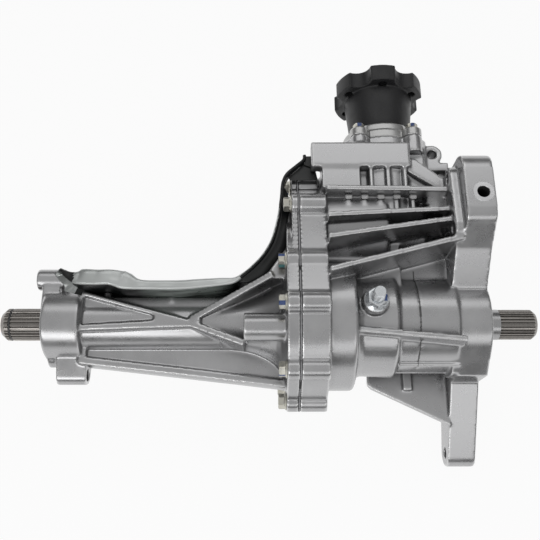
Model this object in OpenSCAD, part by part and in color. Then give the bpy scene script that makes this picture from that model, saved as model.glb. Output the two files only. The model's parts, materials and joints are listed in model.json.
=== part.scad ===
// Front differential with an axle tube on its left and a transfer gear stage behind the axle.
// X runs along the axle, +Y to the rear where the input flange is, +Z up.
// The origin is on the axle line in the plane of the right mounting face.

/* [Axle line] */
// Length of the main casting from mounting face to joint face
carrier_len = 172; // [168:1:180]
// Length of the axle tube from joint face to collar end
tube_len = 235; // [220:1:260]
// Length of the collar at the outer end of the tube
collar_len = 35; // [32:1:40]
// Outer radius of the collar
collar_r = 33.5; // [32.5:0.5:36]
// Outer radius of the plain tube barrel
barrel_r = 26; // [25:0.5:28]
// Radius of both axle shafts inside the housing
shaft_r = 13.5; // [12:0.5:13.5]
// Radius of the shafts where seals and ball bearings run
seat_r = 15.4; // [15:0.1:15.6]
// Length that the left shaft stands out of the collar
left_stub = 43; // [35:1:60]
// Length of the plain journal outside the mounting face
journal_len = 16; // [10:1:20]
// Radius of the right journal and of its spline
journal_r = 14.4; // [14:0.1:14.8]
// Length of the right spline
right_spline_len = 35; // [25:1:45]
// Number of spline teeth on each output shaft
spline_n = 27; // [20:1:34]

/* [Split flange] */
// Thickness of the flange on the main casting
flange_t = 25; // [23:1:27]
// Thickness of the flange on the tube casting
cover_t = 11; // [10:1:13]
// Thickness of the joint gasket
gasket_t = 1; // [0.5:0.5:2]
// Outer radius of the housing wall at the joint
wall_r = 73; // [72:0.5:75]
// Outer radius of the wall around the countershaft
lobe_wall_r = 43.5; // [43:0.5:46]
// Radius of the bolt circle around the axle
bolt_circle_r = 72.5; // [72:0.5:75]
// Radius of the bolt circle around the countershaft
lobe_circle_r = 44.5; // [44:0.5:46]
// Radius of each bolt lobe
bolt_lobe_r = 9.5; // [9:0.5:11]
// Radius of the shank of each flange bolt
bolt_r = 4; // [3.5:0.5:4]

/* [Gears] */
// Teeth of the final gear on the differential case
final_teeth = 46; // [46:1:46]
// Teeth of the countershaft gear
counter_teeth = 26; // [26:1:26]
// Module of the final gear pair
spur_module = 2.5; // [2.4:0.1:2.5]
// Teeth of the bevel ring gear
ring_teeth = 28; // [28:1:28]
// Teeth of the bevel pinion
pinion_teeth = 13; // [13:1:13]
// Module of the bevel pair
bevel_module = 2.4; // [2.2:0.1:2.4]
// Teeth of each side gear
side_teeth = 16; // [16:2:16]
// Teeth of each spider gear
spider_teeth = 10; // [10:2:10]
// Module of the differential gears
spider_module = 3; // [2.9:0.1:3]
// Height of the countershaft above the axle line
counter_z = 10; // [6:1:14]

/* [Input] */
// Distance from the joint face to the input axis
input_from_joint = 86; // [86:0.5:88]
// Outer radius of the input flange
input_flange_r = 45.5; // [43:0.5:48]
// Thickness of the input flange rim
rim_t = 17; // [14:1:18]
// Distance from the axle line to the rear face of the input flange
input_face_y = 254; // [250:1:260]
// Radius of the circle of threaded holes in the input flange
input_holes_circle_r = 36; // [35:0.5:37]

/* [Mounting ears] */
// Thickness of the right mounting flange
mount_t = 27; // [25:1:28]
// Height of the top of the rear ear
ear_top_z = 88; // [84:1:92]
// Radius of the through holes in the mounting ears
ear_hole_r = 5.5; // [5:0.25:6]
// Radius of the upright threaded hole in the rear ear
upright_hole_r = 5.1; // [4:0.1:5.5]

/* [Heat shield] */
// Thickness of the heat shield sheet
shield_t = 1.5; // [1:0.25:2]
// Width of the folded top lip of the shield
lip_w = 17; // [12:1:18]

/* [Hidden] */

$fn = 64;
fit = 0.05;           // radial clearance of a running or slip fit
eps = 0.01;           // overlap used only to join parts of one solid

// Stations along the axle
joint_x = -carrier_len;
cover_x = joint_x - gasket_t;
cover_face_x = cover_x - cover_t;
collar_x = cover_x - tube_len;
collar_in_x = collar_x + collar_len;
flange_in_x = joint_x + flange_t;

// Gear geometry
spur_angle = 20;
bevel_angle = 25;
tooth_fill = 0.92;    // share of the half pitch that a tooth takes
final_r = final_teeth * spur_module / 2;
counter_r = counter_teeth * spur_module / 2;
centres = final_r + counter_r;
counter_y = sqrt(centres * centres - counter_z * counter_z);
mesh_angle = atan2(counter_z, counter_y);
ring_r = ring_teeth * bevel_module / 2;
pinion_r = pinion_teeth * bevel_module / 2;
ring_cone = atan2(ring_teeth, pinion_teeth);
pinion_cone = 90 - ring_cone;
bevel_face = 12;
side_r = side_teeth * spider_module / 2;
spider_r = spider_teeth * spider_module / 2;
side_cone = atan2(side_teeth, spider_teeth);
spider_cone = 90 - side_cone;
spider_face = 9;

// Differential case
case_x = joint_x + 50;
case_half = 31;
case_r = 39;
case_in_r = 31.5;
case_flange_r = 52;
hub_r = 22;
left_hub_len = 37;
right_hub_len = 17;
case_cup_r = 35;
bearing_w = 15;
case_left_brg_x = cover_x - bearing_w - 2;
case_right_brg_x = case_x + case_half + 2;
shim_t = 3;
case_right_end_x = case_x + case_half + right_hub_len + shim_t;
final_gear_t = 16;
final_gear_x = case_x - case_half - final_gear_t;
cavity_r = final_r + spur_module + 1.5;

// Countershaft
counter_gear_t = 16;
lobe_cavity_r = counter_r + spur_module + 2;
counter_cup_r = 26;
counter_shaft_r = 12.5;
counter_step_r = 15;
counter_brg_w = 11;
counter_left_x = cover_x - counter_brg_w - 1;
counter_right_x = joint_x + 106;
counter_wall_x = joint_x + 78;     // wall between the gear chamber and the right bearing
ring_shoulder = 32;                // shoulder of the countershaft behind the bevel apex

// Ball bearings and seals at both ends of the axle line
bore_r = seat_r + 2.6;
ball_r = 27.5;
ball_w = 15;
right_brg_x = -28;
left_brg_x = collar_x + 9;
seal_r = 24;
seal_len = 9;

// Input
input_x = joint_x + input_from_joint;
nose_r = 40;
pinion_front_y = counter_y + ring_r + 4.5;
pinion_cup_r = 29;
pinion_brg_w = 15;
front_brg_y = pinion_front_y + 1;
nose_end_y = 176;
rear_brg_y = nose_end_y - 16;
retainer_end_y = nose_end_y + 17;
pinion_journal_r = 14;
hub_outer_r = 19;
rim_y = input_face_y - rim_t;
nut_t = 11;

// Flange bolt positions: angles from +Y towards +Z
axle_bolt_angles = [53, 90, 137, 180, 225, 270, 310];
lobe_bolt_angles = [-75, -25, 20, 75];

// The rear ear and the lower ear of the mounting flange, as [y, z]
ear_front = [82, ear_top_z - 14];
ear_rear = [122, ear_top_z - 18];
ear_back = [128, 26];
lower_ear = [-112, -68];
lower_ear_r = 13;
fin_t = 5;
ear_hole_a = [122, 60];
ear_hole_b = [72, 64];
ear_pad_h = 8;                     // raised pad round the two upper holes
back_pad_h = 14;                   // raised pad round the hole at the back
upright_hole_y = 97;
upright_hole_x = -11;
upright_hole_depth = 34;
lug_at = [-41, 161];
lug_z = 40;
lug_h = 28;
lug_hole_r = 4.5;
stud_at = [input_x - 20, 6];
stud_r = 6;
stud_end_r = 5.4;                  // thread above the nut
stud_taper = 0.6;
stud_seat_z = 60;
stud_top_z = 84;
stud_nut_h = 10;
drain_at = [joint_x + 37, 0];

// Stepped body and the block over the nose
step_r = [62, 50, 44.5];
drain_z = -step_r[0] - 4;            // seat of the drain plug
step_x = joint_x + 88;
groove_x = joint_x + 107;
chamber_r = 33;
chamber_x = joint_x + 84;
chamber_end_x = joint_x + 125;
block_x = input_x - 64;
block_len = 84;
block_y = [118, 140, 166];
block_z = 42;
block_h = 14;

// Tube: the knot is where its ribs cross
knot = [joint_x - 98, -7];
plate_z = 29;
collar_ear = [39, 17];
collar_low_ear = [-47, -7];
collar_low_x = collar_in_x - 24;
collar_low_len = 28;

// Heat shield: stations of its wall as [x from the joint face, y, width of the lip]
shield_z = 46.5;
shield_path = [[-221.5, 40.5, 4], [-211, 31.5, 7], [-204, 26.8, lip_w - 5], [-196, 25.4, lip_w - 3],
  [-184, 25, lip_w - 3.4], [-172, 25, lip_w - 3.4], [-162, 21.6, lip_w - 1.2], [-153, 20.8, lip_w - 3.4],
  [-144, 20.8, 8.4], [-128, 20.8, 7.8], [-108, 20.8, 8], [-90, 22.4, 7.6], [-72, 24.4, 6.6],
  [-59, 27, 5], [-50, 34, 4], [-41, 42.5], [-32, 53], [-24.5, 66.5], [-19.6, 82],
  [-18.2, 96], [-17.8, 108], [-16.6, 119], [-12.5, 128],
  [-8, 135], [-0.5, 146], [6, 152]];
shield_lip_end = 14;               // last station that has a lip
shield_screws_at = [[joint_x - 178, 25], [joint_x - 118, 20.8]];
shield_screw_z = 20.8;
clip_r = 2;
clip_at = [joint_x + 16.5, 154];

module on_x(x0 = 0) { translate([x0, 0, 0]) rotate([90, 0, 90]) children(); }
module on_y(y0 = 0) { translate([0, y0, 0]) rotate([-90, 0, 0]) children(); }
module xcyl(x0, x1, r) { on_x(x0) cylinder(r = r, h = x1 - x0); }
module xcone(x0, x1, r0, r1) { on_x(x0) cylinder(r1 = r0, r2 = r1, h = x1 - x0); }
module ycyl(y0, y1, r) { on_y(y0) cylinder(r = r, h = y1 - y0); }
module xring(x0, x1, r, bore) {
  difference() {
    xcyl(x0, x1, r);
    xcyl(x0 - 1, x1 + 1, bore);
  }
}
module yring(y0, y1, r, bore) {
  difference() {
    ycyl(y0, y1, r);
    ycyl(y0 - 1, y1 + 1, bore);
  }
}
// Revolved about X from points given as [radius, x]
module xturn(points) { on_x() rotate_extrude() polygon(points); }
module at_counter() { translate([0, counter_y, counter_z]) children(); }
module at_input() { translate([input_x, 0, counter_z]) children(); }
module at_bolts() {
  for (a = axle_bolt_angles)
    translate([0, bolt_circle_r * cos(a), bolt_circle_r * sin(a)]) children();
  for (a = lobe_bolt_angles)
    at_counter() translate([0, lobe_circle_r * cos(a), lobe_circle_r * sin(a)]) children();
}

// Two circles joined by their outer tangents, flat
module link(a, ra, b, rb) {
  d = norm(b - a);
  dir = atan2(b[1] - a[1], b[0] - a[0]);
  tilt = acos((ra - rb) / d);
  up = dir + tilt;
  dn = dir - tilt;
  translate(a) circle(ra);
  translate(b) circle(rb);
  polygon([a + ra * [cos(up), sin(up)], a + ra * [cos(dn), sin(dn)],
           b + rb * [cos(dn), sin(dn)], b + rb * [cos(up), sin(up)]]);
}

function arc(c, r, a0, a1, n = 8) =
  [for (i = [0 : n]) let (a = a0 + (a1 - a0) * i / n) c + r * [cos(a), sin(a)]];

// Involute function and half the angle that a tooth takes at height h over the pitch line
function inv_deg(a) = tan(a) * 180 / PI - a;
function half_tooth(z, m, cone, h, pa) =
  let (pitch = z * m / (2 * cos(cone)), base = pitch * cos(pa), r = pitch + h,
       a = r > base ? acos(base / r) : 0,
       half = 90 * tooth_fill * cos(cone) / z + inv_deg(pa) - inv_deg(a))
  half * r / (z * m / 2 + h * cos(cone));

module spur_profile(z, m, phase = 0) {
  heights = [-1.25 * m, -0.55 * m, 0, 0.5 * m, 0.95 * m];
  up = [for (h = heights) [h, -half_tooth(z, m, 0, h, spur_angle)]];
  down = [for (i = [4 : -1 : 0]) [up[i][0], -up[i][1]]];
  polygon([for (k = [0 : z - 1]) for (p = concat(up, down))
    let (a = phase + k * 360 / z + p[1], r = z * m / 2 + p[0]) r * [cos(a), sin(a)]]);
}

// One straight bevel tooth, apex at the origin, axis +Z, centred on angle 0
module bevel_tooth(z, m, cone, face, apex_h, top = 0.9) {
  heights = [-1.7 * m, -0.6 * m, 0, top * m];
  large = z * m / (2 * sin(cone));
  scales = [(large - face) / large, 1];
  n = 2 * len(heights);
  side = [for (h = heights) [h, -half_tooth(z, m, cone, h, bevel_angle)]];
  ring = concat(side, [for (i = [len(side) - 1 : -1 : 0]) [side[i][0], -side[i][1]]]);
  pts = [for (s = scales) for (p = ring)
    let (r = z * m / 2 + p[0] * cos(cone)) s * [r * cos(p[1]), r * sin(p[1]), apex_h - p[0] * sin(cone)]];
  polyhedron(pts, concat(
    [for (i = [1 : n - 2]) [0, i, i + 1]],
    [for (i = [1 : n - 2]) [n, n + i + 1, n + i]],
    [for (i = [0 : n - 1]) [i, n + i, n + (i + 1) % n]],
    [for (i = [0 : n - 1]) [i, n + (i + 1) % n, (i + 1) % n]]));
}

// Bevel gear: teeth on a conical blank. back is the depth of the blank behind the teeth.
module bevel_gear(z, m, cone, face, back, back_r, phase = 0) {
  pitch_h = z * m / 2 / tan(cone);
  large = z * m / (2 * sin(cone));
  s = (large - face) / large;
  root = 1.2 * m;
  big = [z * m / 2 - root * cos(cone), pitch_h + root * sin(cone)];
  for (k = [0 : z - 1])
    rotate(phase + k * 360 / z) bevel_tooth(z, m, cone, face, pitch_h);
  rotate_extrude() polygon([[0, s * big[1]], s * big, big,
    [back_r, big[1] + (big[0] - back_r) * 0.4], [back_r, pitch_h + back], [0, pitch_h + back]]);
}

module hex_bolt_x(x0, grip, shank_r, af, head_h, washer_r) {
  xcyl(x0 - 1, x0 + grip, shank_r);
  xcyl(x0 - 1.6, x0, washer_r);
  on_x(x0 - head_h) cylinder(r = af / sqrt(3), h = head_h, $fn = 6);
}

// Outline of the split flange, flat in the YZ plane
module wall_outline(grow = 0) {
  link([0, 0], wall_r + grow, [counter_y, counter_z], lobe_wall_r + grow);
}
module lobes_outline(r) {
  on_list = concat(
    [for (a = axle_bolt_angles) bolt_circle_r * [cos(a), sin(a)]],
    [for (a = lobe_bolt_angles) [counter_y, counter_z] + lobe_circle_r * [cos(a), sin(a)]]);
  for (p = on_list) translate(p) circle(r);
}
module gear_cavity(x0, x1) {
  xcyl(x0, x1, cavity_r);
  at_counter() xcyl(x0, x1, lobe_cavity_r);
}

// Right mounting flange, flat in the YZ plane
module mount_outline() {
  circle(43);
  polygon([[-31, 29.8], [-51, 9], [-51, -22], [-34, -46], [0, -43], [0, 0]]);
  link([-38, -38], 22, lower_ear, lower_ear_r);
  link(ear_front, 14, ear_rear, 18);
  link(ear_rear, 18, ear_back, 14);
  polygon([[24, 35.7], [54, 62], [70, 81], ear_rear, [142, 26], [112, -4], [60, -22], [20, -38]]);
}

// A straight rib from a to b in plan, with its own height at each end
module slope_rib(a, b, t, za, zb, foot = 8) {
  d = b - a;
  translate([a[0], a[1], 0]) rotate(atan2(d[1], d[0])) translate([0, t / 2, 0]) rotate([90, 0, 0])
    linear_extrude(height = t) polygon([[0, foot], [norm(d), foot], [norm(d), zb], [0, za]]);
}

module fin(y0, z0, y1, z1, t, foot = 20) {
  slope = (y1 - y0) / (carrier_len - mount_t - flange_t);
  intersection() {
    linear_extrude(height = 200, center = true)
      polygon([[flange_in_x - eps, y0 - t / 2], [-mount_t + eps, y1 - t / 2],
               [-mount_t + eps, y1 + t / 2], [flange_in_x - eps, y0 + t / 2]]);
    translate([0, 200, 0]) rotate([90, 0, 0]) linear_extrude(height = 400)
      polygon([[flange_in_x - 1, foot], [0, foot], [0, z1], [-mount_t, z1], [flange_in_x - 1, z0]]);
  }
}

// Radial rib on the axle body, at an angle from +Z towards -Y
module body_rib(a, x0, x1, r0, r1, t) {
  rotate([a, 0, 0]) translate([0, t / 2, 0]) rotate([90, 0, 0]) linear_extrude(height = t)
    polygon([[x0, 30], [x1, 30], [x1, r1], [x0, r0]]);
}

module carrier_outside() {
  // Flange with its bolt lobes
  on_x(joint_x) linear_extrude(height = flange_t) {
    wall_outline();
    lobes_outline(bolt_lobe_r);
  }
  // Stepped body on the axle line
  xturn(concat([[0, flange_in_x - 1], [62, flange_in_x - 1]],
    arc([step_r[0] - 3, case_x - 3], 3, 0, 90, 3), [[step_r[1] + 2, case_x]],
    arc([step_r[1] - 3, case_x + 3], 3, 0, 60, 3), arc([step_r[1] - 3, step_x - 3], 3, 0, 60, 3),
    [[step_r[2], step_x + 2], [step_r[2], groove_x - 1], [step_r[2] - 0.9, groove_x - 0.4],
     [step_r[2] - 0.9, groove_x + 0.4], [step_r[2], groove_x + 1],
     [step_r[2], -mount_t - 3], [0, -mount_t - 3]]));
  // Countershaft chamber, bearing boss and closed end
  at_counter() xturn(concat([[0, flange_in_x - 1], [lobe_wall_r, flange_in_x - 1]],
    arc([lobe_wall_r - 4, chamber_x - 4], 4, 0, 90, 4),
    [[chamber_r, chamber_x], [chamber_r, chamber_end_x - 7], [chamber_r - 5, chamber_end_x],
     [0, chamber_end_x]]));
  // Web between the axle body and the chamber
  translate([flange_in_x - 1, 10, -26]) cube([chamber_x + 11 - flange_in_x, counter_y - 10, 62]);
  translate([chamber_x + 5, 10, -22]) cube([-mount_t - chamber_x - 10, counter_y - 10, 48]);
  // Nose around the pinion and the deck on top of it
  at_input() ycyl(counter_y, nose_end_y, nose_r);
  at_input() on_y(nose_end_y - 18) linear_extrude(height = 18) retainer_outline();
  at_input() intersection() {
    translate([-nose_r, 118, -nose_r]) cube([2 * nose_r, nose_end_y - 118, nose_r * 2 - 6]);
    ycyl(110, nose_end_y, nose_r + 9);
  }
  translate([block_x - 10, block_y[1], block_z]) cube([block_len + 10, block_y[2] - block_y[1], block_h]);
  translate([block_x, block_y[0], 26]) cube([block_len, block_y[2] - block_y[0] - 0.5, 17]);
  translate([block_x, block_y[0], 26]) cube([36, 24, 29]);
  for (i = [0 : 2])
    translate([input_x - 19.5 + 16 * i, block_y[0], 40]) cube([4, 24, 14]);
  // Brace from the deck to the rear ear, and a lug beside it
  translate([0, 0, 40]) linear_extrude(height = 11)
    polygon([[input_x + 16, 150], [input_x + 26, 150], [-mount_t, 122], [-mount_t, 108],
             [input_x + 16, 138]]);
  translate([input_x + 24, 143, 10]) cube([-mount_t + 1 - input_x - 24, 9, 30]);
  translate([lug_at[0], lug_at[1], lug_z - lug_h]) cylinder(r = 10, h = lug_h);
  translate([lug_at[0] - 11, 140, 12]) cube([16, 17, 22]);
  // Fins that carry the load from the split flange to the mounting flange
  fin(114, 64, 113, 62, fin_t);
  fin(84, 70, 93, 64, fin_t);
  fin(61, 75, 82, 68, fin_t);
  fin(29, 78, 62, 72, fin_t);
  for (i = [-2.65 : 1 : 1.35])
    translate([input_x + 15 * i - 2, 88, 30]) cube([4, 26, 22]);
  slope_rib([case_x + 1, -18], [-mount_t + 1, -26], 5, step_r[1] + 4, step_r[1] + 1);
  body_rib(68, step_x, -mount_t + eps, step_r[2] + 2.5, step_r[2] + 2.5, 4);
  body_rib(104, step_x, -mount_t + eps, step_r[2] + 1.5, step_r[2] + 1.5, 4);
  // Gusset down to the lower ear
  translate([0, 0, -46]) linear_extrude(height = 8)
    polygon([[case_x + 18, -20], [case_x + 18, -50], [case_x + 22, -54],
             [-mount_t + 1, -89], [-mount_t + 1, -20]]);
  translate([groove_x - 5, -56, -42]) cube([9, 30, 8]);
  // Boss under the stud
  translate([stud_at[0], stud_at[1], 40]) cylinder(r = 11.5, h = stud_seat_z - 40);
  // Right mounting flange with raised pads round its holes
  on_x(-mount_t) linear_extrude(height = mount_t) mount_outline();
  on_x(-mount_t - ear_pad_h) linear_extrude(height = ear_pad_h + 1) link(ear_hole_a, 12, ear_hole_b, 12);
  on_x(-mount_t - back_pad_h) linear_extrude(height = back_pad_h + 1) translate(ear_back) circle(12);
  on_x(-mount_t - 6) linear_extrude(height = 7) intersection() {
    mount_outline();
    link([0, 0], 50, [30, 24], 50);
  }
  // Drain boss underneath
  translate([drain_at[0], drain_at[1], drain_z]) cylinder(r = 14, h = 20);
}

module carrier_housing() {
  color("#aaaaac") difference() {
    carrier_outside();
    // Gear chambers, open to the joint face
    gear_cavity(joint_x - 1, flange_in_x - 4);
    xcyl(joint_x - 1, case_x - 6, case_flange_r + 3);
    xcyl(joint_x - 1, case_x + case_half + 1, case_r + 3);
    at_counter() xcyl(joint_x - 1, counter_wall_x, lobe_cavity_r);
    at_counter() xcyl(counter_wall_x - 1, counter_right_x, counter_cup_r);
    // Bearing seats and shaft way
    xcyl(case_x + case_half, case_right_end_x, case_cup_r);
    xcyl(case_right_end_x - 4, 1, bore_r);
    xcyl(right_brg_x - 2, right_brg_x + ball_w + 1, ball_r);
    xcyl(-seal_len - 1, 1, seal_r);
    at_counter() xcyl(counter_right_x - 1, counter_right_x + pinion_brg_w, counter_cup_r);
    // Pinion bore, from the rear
    at_input() ycyl(counter_y, nose_end_y + 1, 22);
    at_input() ycyl(front_brg_y, nose_end_y + 1, pinion_cup_r);
    // Bolt holes of the split flange
    at_bolts() xcyl(joint_x - 1, flange_in_x - 5, bolt_r + fit);
    dowels_at() xcyl(joint_x - 1, joint_x + 7, 4 + fit);
    // Retainer bolt holes
    retainer_at() ycyl(nose_end_y - 16, nose_end_y + 1, 3 + fit);
    // Mounting holes
    for (p = [ear_hole_a, ear_hole_b])
      translate([0, p[0], p[1]]) xcyl(-mount_t - ear_pad_h, 1, ear_hole_r);
    translate([0, ear_back[0], ear_back[1]]) xcyl(-mount_t - back_pad_h, 1, ear_hole_r);
    translate([0, lower_ear[0], lower_ear[1]]) xcyl(-mount_t - 1, 1, ear_hole_r);
    translate([upright_hole_x, upright_hole_y, ear_top_z - upright_hole_depth])
      cylinder(r = upright_hole_r, h = upright_hole_depth + 1);
    translate([lug_at[0], lug_at[1], lug_z - lug_h - 1]) cylinder(r = lug_hole_r, h = lug_h + 20);
    translate([clip_at[0], clip_at[1], block_z - 1]) cylinder(r = clip_r + fit, h = 10);
    // Stud and drain holes
    translate([stud_at[0], stud_at[1], stud_seat_z - 16]) cylinder(r = stud_r + fit, h = 40);
    translate([drain_at[0], drain_at[1], drain_z - 4]) cylinder(r = 9 + fit, h = 20);
  }
}

// Stations of the flared tube
flare_x0 = cover_face_x - 55;
flare_r = 60;
function flare(x) = let (t = max(0, (x - flare_x0) / (cover_face_x - flare_x0)))
  barrel_r + (flare_r - barrel_r) * (1 - sqrt(max(0, 1 - t * t)));

module tube_outside() {
  on_x(cover_face_x) linear_extrude(height = cover_t) {
    link([0, 0], wall_r, [42, 5], 58);
    for (a = axle_bolt_angles) translate(bolt_circle_r * [cos(a), sin(a)]) circle(bolt_lobe_r);
  }
  on_x(cover_x - 6) linear_extrude(height = 6) {
    wall_outline();
    lobes_outline(bolt_lobe_r);
  }
  // Barrel and trumpet
  xturn(concat([[0, collar_in_x - 5], [barrel_r, collar_in_x - 5]],
    [for (i = [0 : 12]) let (x = flare_x0 + (cover_face_x - flare_x0) * i / 12) [flare(x), x]],
    [[0, cover_face_x]]));
  // Web with a bead along the front
  translate([0, 0, -5]) linear_extrude(height = 10)
    polygon([[collar_in_x - 2, -40], [knot[0], -52], [cover_face_x + 1, -62],
             [cover_face_x + 1, 44], [knot[0] + 45, 24], [knot[0], 20], [collar_in_x - 2, 19]]);
  translate([0, 0, -9]) linear_extrude(height = 18) {
    link([collar_in_x, -36], 3.5, [knot[0], -47.5], 3.51);
    link([knot[0], -47.5], 3.51, [cover_face_x, -58], 3.5);
  }
  // Deck on the rear upper side, and the plate on it with its pocket
  translate([0, 0, -2]) linear_extrude(height = 26)
    polygon([[collar_in_x - 2, -8], [knot[0], knot[1]], [knot[0] + 34, 4], [knot[0] + 34, 20],
             [collar_in_x - 2, 20]]);
  translate([0, 0, 10]) linear_extrude(height = plate_z - 10) difference() {
    polygon([[collar_in_x - 2, 25.5], [knot[0] - 2, -3], [knot[0] + 8, -3], [knot[0] + 8, -10],
             [knot[0] - 4, -9.5], [collar_in_x - 2, -13]]);
    polygon([[collar_in_x + 2, 20], [knot[0] - 38, 2.6], [knot[0] - 35, 1], [knot[0] - 34.4, -1],
             [knot[0] - 36, -3], [knot[0] - 39, -3.8], [collar_in_x + 2, -7.5]]);
  }
  slope_rib([knot[0] - 2, -3], [knot[0] + 73, 34], 6, plate_z, 50);
  slope_rib([knot[0] - 2, -6], [knot[0] + 48, -26], 6, plate_z, 36);
  translate([0, 0, 10]) linear_extrude(height = 38)
    polygon([[knot[0] + 65, 30], [cover_face_x + 1, 62], [cover_face_x + 1, 30]]);
  // Screw bosses of the heat shield
  for (p = shield_screws_at) translate([p[0], 0, shield_screw_z]) ycyl(15, p[1] - fit, 4);
  // Round boss on the trumpet
  translate([0, -15, 47]) xcyl(cover_face_x - 38, cover_face_x + 1, 12.5);
  // Collar with its two ears
  xturn(concat([[0, collar_x]], arc([collar_r - 2, collar_x + 2], 2, -90, 0, 3),
    arc([collar_r - 2, collar_in_x - 2], 2, 0, 90, 3), [[0, collar_in_x]]));
  on_x(collar_x - 9) linear_extrude(height = 26) translate(collar_ear) circle(10);
  on_x(collar_x - 3) linear_extrude(height = 17) link([12, 10], 15, collar_ear - [3, 1], 8);
  on_x(collar_x + 2) linear_extrude(height = 20) link([-12, -3], 20, [-29, -5], 11);
  on_x(collar_low_x) linear_extrude(height = collar_low_len) link([-18, -4], 16, collar_low_ear, 9);
  // Countershaft bearing boss
  at_counter() xcone(counter_left_x - 2.5, cover_x - 5, 29, 34);
  on_x(cover_face_x - 3) linear_extrude(height = 10) link([30, 4], 28, [counter_y, counter_z], 20);
  // Ribs on the hidden side
  for (a = [-45, 0, 45]) rotate([a, 0, 0]) translate([0, 2.5, 0]) rotate([90, 0, 0])
    linear_extrude(height = 5) polygon([[collar_in_x - 1, 0], [collar_in_x - 1, -36],
      [knot[0], -40], [cover_face_x + 1, -58], [cover_face_x + 1, 0]]);
}

module axle_tube() {
  color("#a6a6a9") difference() {
    tube_outside();
    xcyl(collar_x - 12, cover_x + 1, bore_r);
    // Trumpet inside, case bearing seat
    xcone(cover_face_x - 56, cover_face_x - 24, bore_r, 30);
    xcyl(case_left_brg_x - 3, cover_x + 1, case_cup_r);
    xcone(cover_x - 5, cover_x + 0.01, case_cup_r, 44);
    // Outer ball bearing and seal seats in the collar
    xcyl(left_brg_x, left_brg_x + ball_w, ball_r);
    xcyl(collar_x - 12, left_brg_x + eps, seal_r);
    // Countershaft bearing seat
    at_counter() xcyl(counter_left_x, cover_x + 1, counter_cup_r);
    // Bolt, dowel and mounting holes
    at_bolts() xcyl(cover_face_x - 2, cover_x + 1, bolt_r + 0.4);
    dowels_at() xcyl(cover_x - 5, cover_x + 1, 4 + fit);
    translate([0, collar_ear[0], collar_ear[1]]) xcyl(collar_x - 10, collar_x + 17, ear_hole_r);
    translate([0, collar_low_ear[0], collar_low_ear[1]])
      xcyl(collar_low_x, collar_low_x + collar_low_len, ear_hole_r);
    // Screw holes of the heat shield
    for (p = shield_screws_at) translate([p[0], 0, shield_screw_z]) ycyl(p[1] - 9, p[1] + 1, clip_r + fit);
  }
}

module dowels_at() {
  for (a = [110, 290])
    translate([0, (bolt_circle_r - 5) * cos(a), (bolt_circle_r - 5) * sin(a)]) children();
}

module joint_gasket() {
  color("#3b3b3d") on_x(cover_x) linear_extrude(height = gasket_t) difference() {
    union() {
      wall_outline();
      lobes_outline(bolt_lobe_r);
    }
    circle(cavity_r);
    translate([counter_y, counter_z]) circle(lobe_cavity_r);
    lobes_outline(bolt_r + 0.4);
    for (a = [110, 290]) translate((bolt_circle_r - 5) * [cos(a), sin(a)]) circle(4.3);
  }
}

module flange_bolts() {
  color("#c9c7b8") {
    for (a = axle_bolt_angles)
      translate([0, bolt_circle_r * cos(a), bolt_circle_r * sin(a)])
        hex_bolt_x(cover_face_x, cover_t + gasket_t + 18, bolt_r, 12, 7.5, 8);
    for (a = lobe_bolt_angles)
      at_counter() translate([0, lobe_circle_r * cos(a), lobe_circle_r * sin(a)])
        hex_bolt_x(cover_x - 6, 6 + gasket_t + 18, bolt_r, 12, 7.5, 8);
  }
}

module flange_dowels() {
  color("#8e8e90") dowels_at() xring(cover_x - 5, joint_x + 7, 4, 2.5);
}

module retainer_at() {
  for (sx = [-1, 1], sz = [-1, 1])
    at_input() translate([sx * 26, 0, sz * 35]) children();
}

module retainer_outline() {
  circle(39);
  link([-26, -35], 9, [26, 35], 9.01);
  link([-26, 35], 9, [26, -35], 9.01);
}

module pinion_retainer() {
  color("#b2b2b2") at_input() difference() {
    union() {
      on_y(nose_end_y) linear_extrude(height = 8) retainer_outline();
      ycyl(nose_end_y, retainer_end_y - 2, 38);
      on_y(retainer_end_y - 2) cylinder(r1 = 38, r2 = 36, h = 2);
    }
    ycyl(nose_end_y - 1, retainer_end_y + 1, hub_outer_r + 5);
    ycyl(retainer_end_y - 9, retainer_end_y + 1, 28);
    for (sx = [-1, 1], sz = [-1, 1])
      translate([sx * 26, 0, sz * 35]) {
        ycyl(nose_end_y - 1, nose_end_y + 9, 3.4);
        ycyl(nose_end_y + 8, retainer_end_y + 1, 8);
      }
  }
}

module retainer_bolts() {
  color("#c9c7b8") retainer_at() {
    ycyl(nose_end_y - 14, nose_end_y + 9, 3);
    ycyl(nose_end_y + 8, nose_end_y + 9.5, 6.8);
    on_y(nose_end_y + 9.4) cylinder(r = 5.6, h = 5, $fn = 6);
  }
}

module pinion_seal() {
  color("#2b2b2b") at_input() yring(retainer_end_y - 9, retainer_end_y - 0.5, 28, hub_outer_r + 0.3);
}

module left_seal() {
  color("#2b2b2b") xring(collar_x + 1, left_brg_x, seal_r, seat_r + 0.3);
}

module right_seal() {
  color("#2b2b2b") xring(-seal_len - 1, -1, seal_r, seat_r + 0.3);
}

// Tapered roller bearing on X: the wide end of the rollers is at the x1 side when flip is 1
module cup_x(x0, w, r, inner, flip) {
  difference() {
    xcyl(x0, x0 + w, r);
    xcone(x0 - eps, x0 + w + eps, inner - flip * 1.5, inner + flip * 1.5);
  }
}
module cone_x(x0, w, bore, track, flip) {
  difference() {
    union() {
      xcone(x0 + 0.5, x0 + w - 0.5, track - flip, track + flip);
      xcyl(x0 + (flip > 0 ? w - 2.5 : 0.5), x0 + (flip > 0 ? w - 0.5 : 2.5), track + 2.5);
    }
    xcyl(x0 - 1, x0 + w + 1, bore);
  }
  n = 14;
  roller = 2.5;
  for (k = [0 : n - 1])
    rotate([k * 360 / n, 0, 0]) translate([x0 + w / 2, 0, track + roller + 0.15])
      rotate([0, 90 - flip * 4, 0]) cylinder(r = roller, h = w - 7, center = true, $fn = 24);
}

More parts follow.
